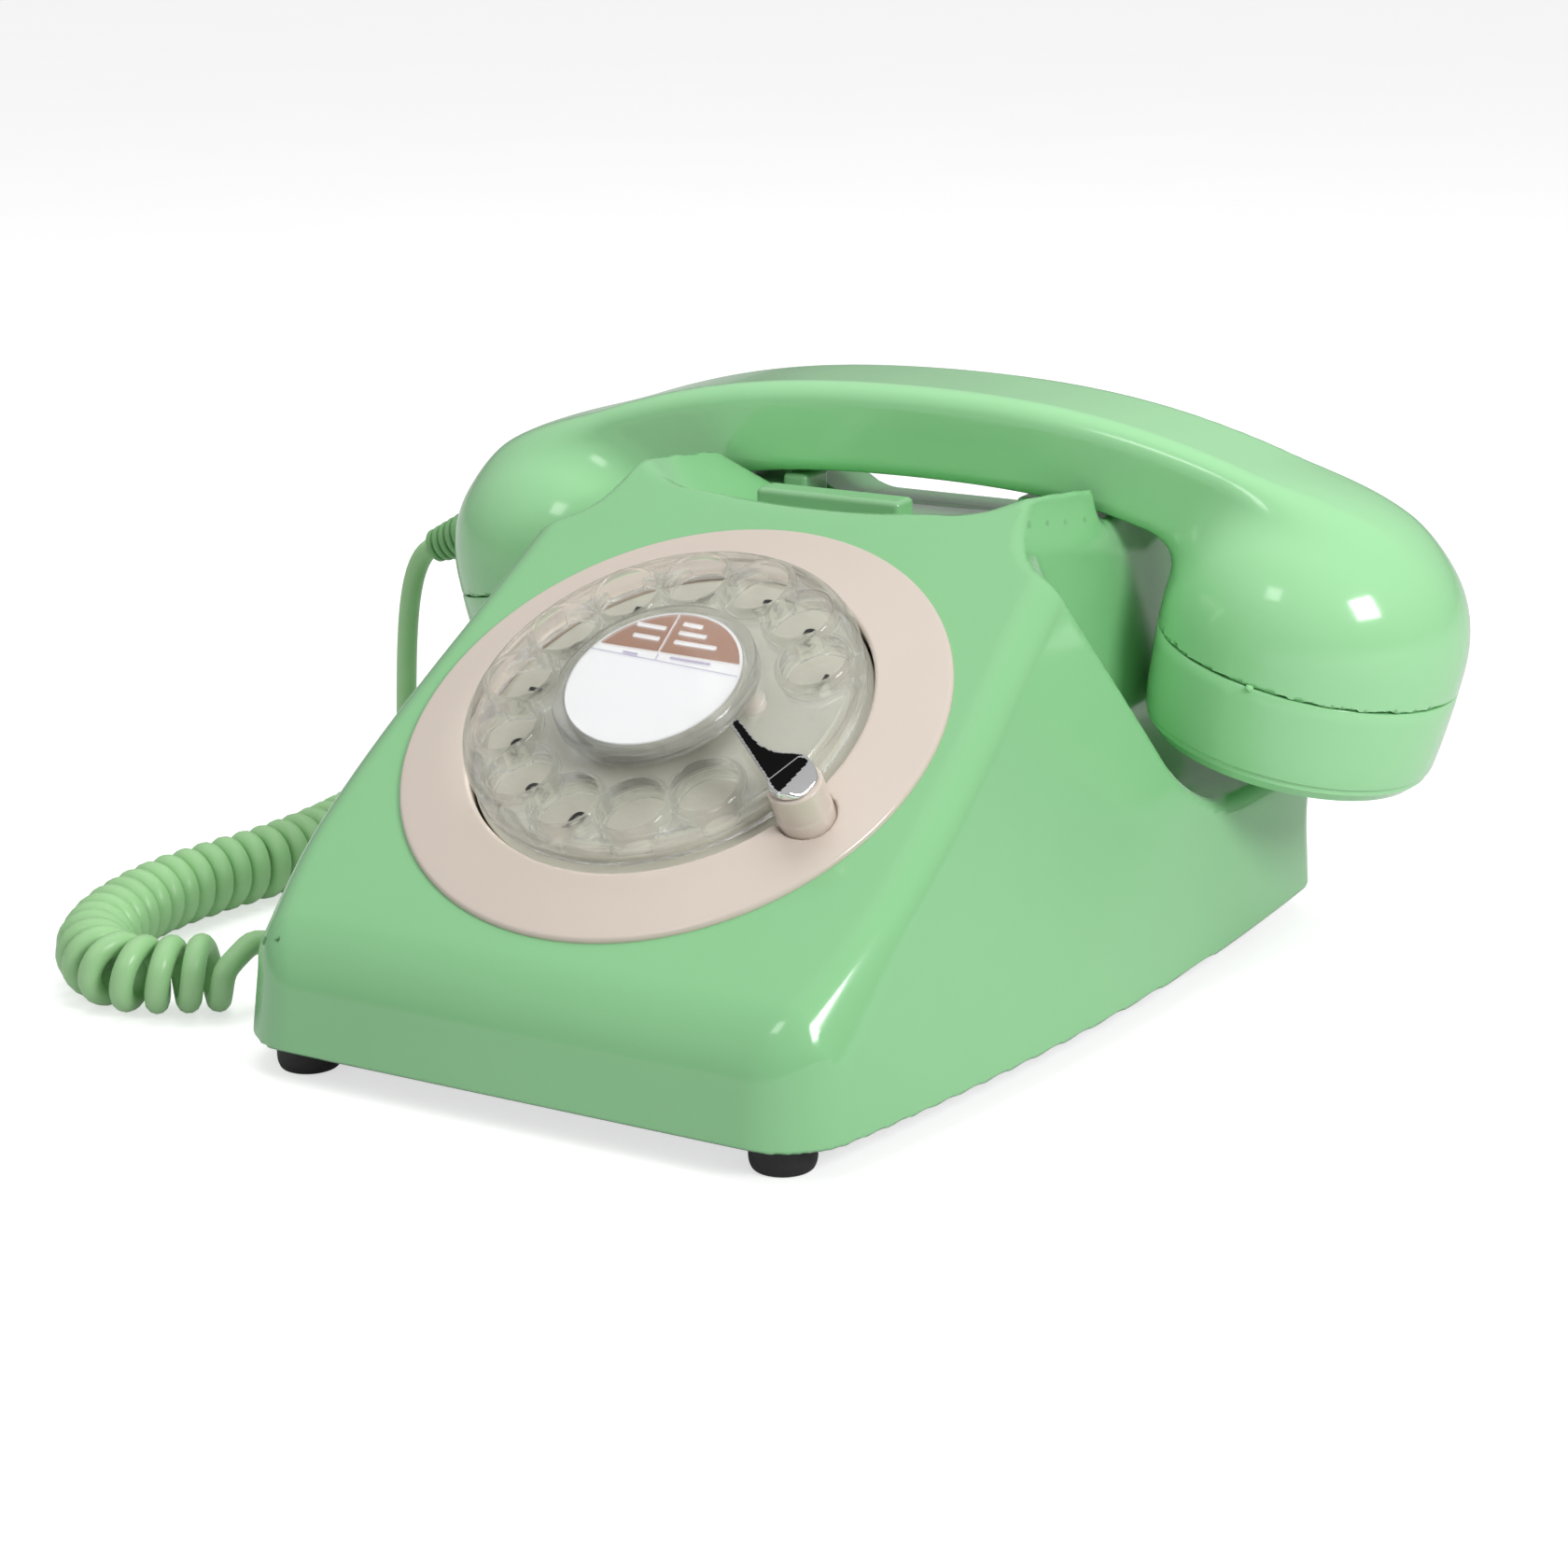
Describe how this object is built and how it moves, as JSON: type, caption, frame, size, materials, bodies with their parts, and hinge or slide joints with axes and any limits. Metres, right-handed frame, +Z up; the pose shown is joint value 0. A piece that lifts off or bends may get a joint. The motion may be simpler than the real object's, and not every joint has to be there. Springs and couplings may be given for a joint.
{
  "type": "rotary dial desk telephone",
  "caption": "Desk telephone with a sloped turning finger dial, a lift-off handset across a horned cradle, a sprung cradle switch, an inner bell ringer and a curly handset cord.",
  "frame": {"origin": "on the surface the feet stand on, under the middle of the telephone's box without its cord", "axes": "+X towards the right-hand end of the handset as seen from the front, -Y the way the dial faces, +Z up"},
  "size_m": [0.2622, 0.1991, 0.1116],
  "materials": {
    "case_green": "glossy moulded plastic, pale green",
    "handset_green": "glossy moulded plastic, pale green",
    "hook_green": "glossy moulded plastic, mid green",
    "cord_green": "satin flexible plastic, pale green",
    "relief_green": "satin flexible plastic, mid green",
    "bezel_cream": "glossy moulded plastic, pinkish cream",
    "plate_grey": "satin grey plate with printed characters",
    "clear_plastic": "clear moulded plastic, faint green tint",
    "hub_grey": "dark grey plastic",
    "label_white": "white printed card with a brown segment",
    "chrome_steel": "polished chrome plate",
    "zinc_steel": "zinc-plated pressed steel",
    "spring_steel": "dark drawn spring steel",
    "brass_parts": "machined brass",
    "black_rubber": "black rubber",
    "black_plastic": "black moulded plastic",
    "brown_phenolic": "dark brown phenolic",
    "coil_copper": "varnished copper winding",
    "board_green": "green circuit board",
    "capsule_grey": "dark grey lacquered metal"
  },
  "bodies": {
    "case": {"case_shell": "case_green", "base_plate": "zinc_steel", "feet": "black_rubber", "base_screws": "zinc_steel", "dial_bezel": "bezel_cream", "number_plate": "plate_grey", "finger_stop": "chrome_steel", "dial_frame": "zinc_steel", "dial_screws": "zinc_steel", "return_spring": "spring_steel", "pulse_contacts": "brass_parts", "hook_spring": "spring_steel", "hook_switch": "black_plastic", "switch_bracket": "zinc_steel", "gongs": "brass_parts", "gong_posts": "zinc_steel", "gong_screws": "zinc_steel", "ringer_coils": "coil_copper", "ringer_yoke": "zinc_steel", "clapper_pin": "zinc_steel", "circuit_board": "board_green", "board_spacers": "zinc_steel", "board_parts": "black_plastic", "line_socket": "black_plastic", "handset_socket": "black_plastic", "handset_lead": "cord_green", "curly_cord": "cord_green", "base_lead": "cord_green", "cord_plug": "clear_plastic"},
    "dial": {"finger_wheel": "clear_plastic", "hub_cup": "hub_grey", "label_card": "label_white", "label_cover": "clear_plastic", "dial_shaft": "zinc_steel", "main_gear": "brass_parts", "pulse_cam": "brown_phenolic"},
    "governor": {"governor_spindle": "zinc_steel", "governor_drum": "brass_parts"},
    "hook": {"hook_bar": "hook_green"},
    "clapper": {"clapper": "zinc_steel"},
    "handset": {"handset_shell": "handset_green", "ear_ring": "handset_green", "ear_face": "handset_green", "receiver_capsule": "capsule_grey", "mouth_ring": "handset_green", "mouth_face": "handset_green", "microphone_capsule": "capsule_grey", "cord_relief": "relief_green"}
  },
  "joints": [
    {"name": "dial_spin", "type": "hinge", "parent": "case", "child": "dial", "pos_m": [0, -0.0392, 0.0614], "axis": [0, -0.515, 0.8572], "range_deg": [-325, 0], "stiffness_Nm_per_rad": 0.004, "springref_deg": 68.75},
    {"name": "governor_spin", "type": "hinge", "parent": "case", "child": "governor", "pos_m": [-0.02048, -0.04044, 0.04899], "axis": [0, -0.515, 0.8572], "range_deg": [0, 1630]},
    {"name": "handset_lift", "type": "slide", "parent": "case", "child": "handset", "axis": [0, 0, 1], "range_m": [0, 0.12]},
    {"name": "hook_slide", "type": "slide", "parent": "case", "child": "hook", "axis": [0, 0, 1], "range_m": [0, 0.0042], "deforming": ["hook_spring"]},
    {"name": "clapper_swing", "type": "hinge", "parent": "case", "child": "clapper", "pos_m": [0, 0.024, 0.024], "axis": [0, 0, 1], "range_deg": [-4, 4], "stiffness_Nm_per_rad": 0.01}
  ],
  "couplings": [
    {"joint": "governor_spin", "follows": "dial_spin", "ratio": -5},
    {"joint": "hook_slide", "follows": "handset_lift", "ratio": 0.033333}
  ]
}
